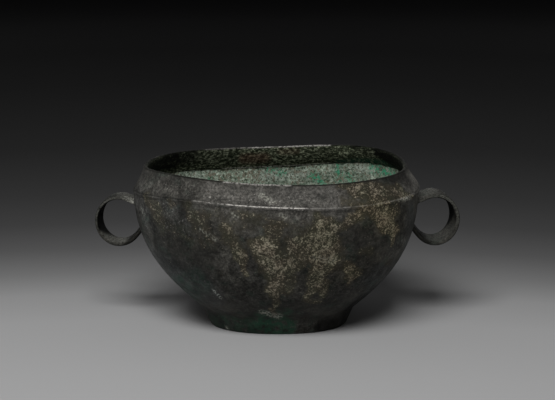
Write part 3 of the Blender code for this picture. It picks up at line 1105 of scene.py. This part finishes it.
# Painted shade: the bowl darkened low on the right and left and round the foot, and at the neck's right end,
# with a thin painted shadow under the ridge on the left
PAINTED_SHADE = (
    (326, 13, 350, 14, 9, 14, 0.98),
    (300, 3, 350, 3, 5, 8, 0.98),
    (192, 8, 222, 5, 7, 6, 0.5),
    (224, 2, 262, 2, 3, 3, 0.35),
    (238, 79, 232, 36, 5, 4, 0.15),
    (332, 79, 341, 77, 3.5, 4, 0.55),
    (342, 34, 352, 31, 5, 6, 0.5),
    (206, 70, 226, 70, 1.3, 1.3, 0.4),
)
CRUMBS = (
    (246, 74, 276, 73, 4, 4, 0.9),
    (276, 75, 292, 74, 3.5, 4, 0.6),
    (222, 75, 246, 75, 3, 4, 0.45),
    (246, 66, 284, 66, 2.5, 2.5, 0.3),
    (212, 66, 232, 58, 7, 8, 0.5),
    (60, 75, 110, 74, 4, 4, 0.6),
)
# Bright lines along the ridge (70) and the lip (81): painted highlights on those edges, with worn bare metal
WEAR_AND_HIGHLIGHT = (
    (241, 70, 248, 70, 1.5, 2, 0.35),
    (252, 70, 258, 70, 2, 3, 0.4),
    (257, 70, 276, 70, 3, 3, 1),
    (276, 70, 294, 70, 3, 3, 0.25),
    (300, 70, 336, 70, 3, 3, 0.22),
    (70, 70, 110, 70, 3, 3, 0.6),
    (252, 81, 274, 81, 1, 1, 0.8),
    (98, 81, 66, 81, 1, 1, 0.8),
    (122, 81, 98, 81, 0.8, 1, 0.35),
)
EMERALD = (
    (92, 69, 88, 66, 1.8, 1.6, 1),
    (76, 64, 71, 60, 2.2, 2.4, 1),
    (64, 69, 62, 60, 1.5, 2.4, 1),
    (58, 63, 56, 60, 1.8, 1.8, 0.9),
    (44, 68, 28, 66, 3, 4, 0.9),
    (118, 66, 121, 62, 1.2, 1.4, 0.5),
)
WHITISH = (
    (96, 65, 80, 65, 2.8, 2.8, 0.25),
    (144, 66, 124, 65, 4, 3, 0.25),
    (52, 68, 44, 66, 3, 3, 0.3),
)
SANDY = ((117, 67, 98, 66, 5.0, 5.0, 0.65), (84, 66, 66, 64, 4.0, 4.0, 0.35))
REDDISH = ((103, 75, 94, 75, 3.0, 3.0, 0.75), (88, 78, 82, 78, 2.0, 2.0, 0.40))
# Deep green patina with painted shade, in the recess under the inside of the neck, by the ridge
DEEP_GREEN_AND_SHADE = (
    (63, 70, 26, 72, 2.2, 3, 0.95),
    (160, 74, 176, 72, 3, 3, 0.6),
    (186, 70, 215, 71, 2, 2, 0.5),
)
# Painted shade with dark patina: near black at the left and right ends inside, in places at the back inside,
# and on the lip at the right back
SHADE_AND_DARK_PATINA = (
    (143, 78, 180, 72, 4.5, 9, 0.97),
    (130, 78, 144, 77, 5, 7, 0.75),
    (108, 78, 134, 77, 4, 6, 0.35),
    (180, 72, 225, 66, 9, 8, 0.97),
    (36, 79, 0, 74, 3.5, 9, 0.96),
    (28, 76, 0, 70, 5, 9, 0.97),
    (52, 81, 30, 81, 1.5, 3, 0.7),
    (54, 80, 38, 78, 2, 4, 0.4),
    (360, 74, 325, 66, 8, 6, 0.96),
    (152, 62, 180, 60, 4, 8, 0.8),
)


# Patches by the side that they lie on. Those outside have wandering edges, those inside nearly still ones.
OUTSIDE = dict(crust=CRUST, dusty=DUSTY, teal=TEAL, crumbs=CRUMBS, ochre=OCHRE, calm=CALM, cool=COOL)
OUTSIDE |= dict(painted_light_and_pale=PAINTED_LIGHT, painted_shade=PAINTED_SHADE)
INSIDE = dict(emerald=EMERALD, whitish=WHITISH, reddish=REDDISH, deep_green_and_shade=DEEP_GREEN_AND_SHADE)

# Millimetres by which edges wander, and metres between the noise of two seeds
STRAY = 2.2
STILL = 0.25
SEED_STEP = 0.37

# Shares of the oval's reach, and heights, that tell the parts of the skin apart
STRAP_REACH = 1.004
INSIDE_REACH = 0.972
INSIDE_BLEND = 0.016
UNDER_REACH = 0.93
UNDER_HEIGHT = 0.0075
UNDER_NORMAL = 0.3
NECK_LEVEL = 69.2
NECK_BLEND = 1.1
LIP_BLEND = 0.4

# How strong the fields are
LIP_DARK = 0.9
COAT_STRENGTH = 0.9
# Strength of the straps' painted shadow on the outside of the lower run by the wall, and along the outer
# front edge
NOTCH_SHADOW = 0.6
EDGE_SHADOW = 0.55

# Heights of the relief, which fades out to the foot's flat ring
SWAY = 0.00012
LUMPS = 0.00006
CRUST_HEIGHT = 0.00008
CRUST_GRAIN = 0.00010
COAT_GRAIN = 0.00005
STRAP_RELIEF = 0.5
FLAT_TO = 0.0004
FLAT_BLEND = 0.002

# How the painted shadow inside each strap lies, and how strong its painted highlights and painted light are
StrapLook = namedtuple("StrapLook", "slant start blur streak top low")
STRAP_LOOKS = (StrapLook(42, 0.74, 0.24, 0.9, 0.30, 0.32), StrapLook(78, 0.15, 0.20, 0.0, 0.24, 0.14))


def fractal(points, size, octaves, seed):
    """Noise from about -1 to 1, with features of a size in metres."""
    moved = (points + seed * SEED_STEP) / size
    return np.array([noise.fractal(Vector(point), 1.0, 2.0, octaves) for point in moved])


def cover(places, patches, stray):
    """How fully patches cover each place, from 0 to 1, with wandering edges."""
    across = places[:, 0] * DEGREE + stray[0]
    height = places[:, 1] + stray[1]
    bare = np.ones(len(places))
    for patch in map(Patch._make, patches):
        start = np.array((patch.turn * DEGREE, patch.level))
        run = np.array((patch.end_turn * DEGREE, patch.end_level)) - start
        share = ((across - start[0]) * run[0] + (height - start[1]) * run[1]) / (run @ run)
        share = np.clip(share, 0, 1)
        distance = np.hypot(across - start[0] - share * run[0], height - start[1] - share * run[1])
        width = mix(patch.width, patch.end_width, share)
        bare *= 1 - patch.strength * smooth(PATCH_EDGE - distance / width)
    return 1 - bare


def write_field(data, name, values):
    data.attributes.new(name, "FLOAT", "POINT").data.foreach_set("value", values)


def strap_fields(points, normals, strap):
    """How much painted shadow and painted light the straps have at each point.

    Painted shadow: the inside at the outer end, the lower part by the wall, and the front of the outer end.
    Painted highlights: the front edge and the top; painted light: the lower part of the inside; all in
    patches.
    """
    # black holds the straps' painted shadow, the other field their painted highlights and painted light
    black = np.zeros(len(points))
    highlight_and_rub = np.zeros(len(points))
    for handle, look in zip(HANDLES, STRAP_LOOKS):
        mine = strap * (points[:, 0] * handle.side > 0)
        path = handle_path(handle)
        middle = (path.min(axis=0) + path.max(axis=0)) / 2
        middle[0] = handle.side * (np.abs(path[:, 0]).max() - handle.run)
        away = points - middle
        out = away[:, 0] * handle.side / handle.run
        above = away[:, 2] / handle.rise
        forward = -away[:, 1]
        inward = rising(-(normals * away).sum(axis=1), 0, 0.005)
        outward = 1 - inward
        # Painted shadow: inside at the outer end, low by the wall inside and out, and along the outer front
        # edge
        shaded = smooth((above - look.slant * forward + look.start) / look.blur)
        shaded *= inward * rising(out, 0.1, 0.3)
        notch_shadow = outward * rising(-above, 0, 0.2) * rising(-out, 0, 0.3) * NOTCH_SHADOW
        wall_shadow = rising(-out, 0.1, 0.4) * rising(-above, 0, 0.3) * (0.52 + 0.38 * inward)
        edge = outward * rising(normals[:, 0] * handle.side, 0.55, 0.25) * EDGE_SHADOW
        edge *= rising(forward, handle.width / 2 - 0.003, 0.0015)
        black += mine * np.maximum.reduce((shaded, notch_shadow, wall_shadow, edge))
        # Painted highlights on the front edge, in a streak near the top and on the top, and painted light
        # low inside
        front = rising(-normals[:, 1], 0.35, 0.4) * (0.10 + 0.15 * rising(above, -0.3, 0.4))
        streak = rising(forward, 0.0015, 0.002) * rising(-out, -0.1, 0.6)
        streak *= outward * (above > 0.3) * look.streak
        top = rising(normals[:, 2], 0.6, 0.3) * rising(-out, -0.3, 0.4) * (above > 0.3) * look.top
        low = inward * rising(-above, -0.1, 0.4) * look.low
        highlight_and_rub += mine * np.maximum.reduce((front, streak, top, low)) * (1 - shaded)
    return black, highlight_and_rub


def weather(data, from_strap):
    """Raises and sinks the skin as the corrosion has, and marks each place for the material."""
    points = read_points(data)
    normals = read_points(data, "normal")
    angle, height, reach = unroll(points)
    level = height * 1000
    places = np.column_stack((np.degrees(angle), level))
    strap = from_strap & (reach > STRAP_REACH)
    within = (1 - rising(reach, INSIDE_REACH, INSIDE_BLEND)) * (height > UNDER_HEIGHT)
    on_lip = rising(level, LIP_FROM, LIP_BLEND) * LIP_DARK
    under = (height < UNDER_HEIGHT) & (normals[:, 2] < UNDER_NORMAL) & (reach < UNDER_REACH)
    outside = (1 - within) * ~strap * ~under
    stray = [fractal(points, 0.007, 3, seed) * STRAY for seed in (11, 12)]
    still = [fractal(points, 0.003, 2, seed) * STILL for seed in (13, 14)]
    neck = smooth((level - NECK_LEVEL + stray[1] * 0.3) / NECK_BLEND)
    black, highlight_and_rub = strap_fields(points, normals, strap)
    fields = {name: cover(places, patches, stray) * outside for name, patches in OUTSIDE.items()}
    fields |= {name: cover(places, patches, still) * within for name, patches in INSIDE.items()}
    # The pale place in the neck joins the painted light's field
    fields["painted_light_and_pale"] += cover(places, PALE_NECK, stray) * within
    fields |= {
        "flake": cover(places, FLAKE, still) * outside,
        "wear_and_highlight": cover(places, WEAR_AND_HIGHLIGHT, still) * ~strap,
        "sandy": cover(places, SANDY, stray) * within,
        # Painted shade inside and on the lip, with dark patina, plus the straps' painted shadow
        "dark": cover(places, SHADE_AND_DARK_PATINA, stray) * np.maximum(within, on_lip) + black,
        "level": np.where(strap, 0.0, level),
        "strap": strap.astype(float),
        "highlight_and_rub": highlight_and_rub,
        "verdigris": within * (1 - neck) * COAT_STRENGTH,
        "inside": within * neck,
    }
    for name, values in fields.items():
        write_field(data, name, values)
    sway = fractal(points, 0.024, 2, 21) * SWAY
    lumps = fractal(points, 0.0050, 3, 22) * LUMPS
    grain = fractal(points, 0.0021, 2, 23)
    raised = fields["crust"] * (CRUST_HEIGHT + CRUST_GRAIN * np.maximum(grain, -0.4))
    coat = fields["verdigris"] * COAT_GRAIN * grain
    rise = (sway + lumps) * np.where(strap, STRAP_RELIEF, 1.0) + raised + coat
    rise = rise * rising(points[:, 2], FLAT_TO, FLAT_BLEND)
    write_points(data, points + normals * rise[:, None])


def build_dish():
    dish, from_strap, joint = one_casting(bronze_material())
    data = dish.data
    relax(data, near(read_points(data), joint, FILLET_REACH))
    weather(data, from_strap)
    write_points(data, np.clip(read_points(data), CAD_BOX[0], CAD_BOX[1]))
    data.shade_smooth()
    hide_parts("bronze_dish")
    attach(dish, "root")
    return dish


make_camera()
make_lights(build_dish(), make_floor())
bpy.context.scene.view_settings.view_transform = "Standard"
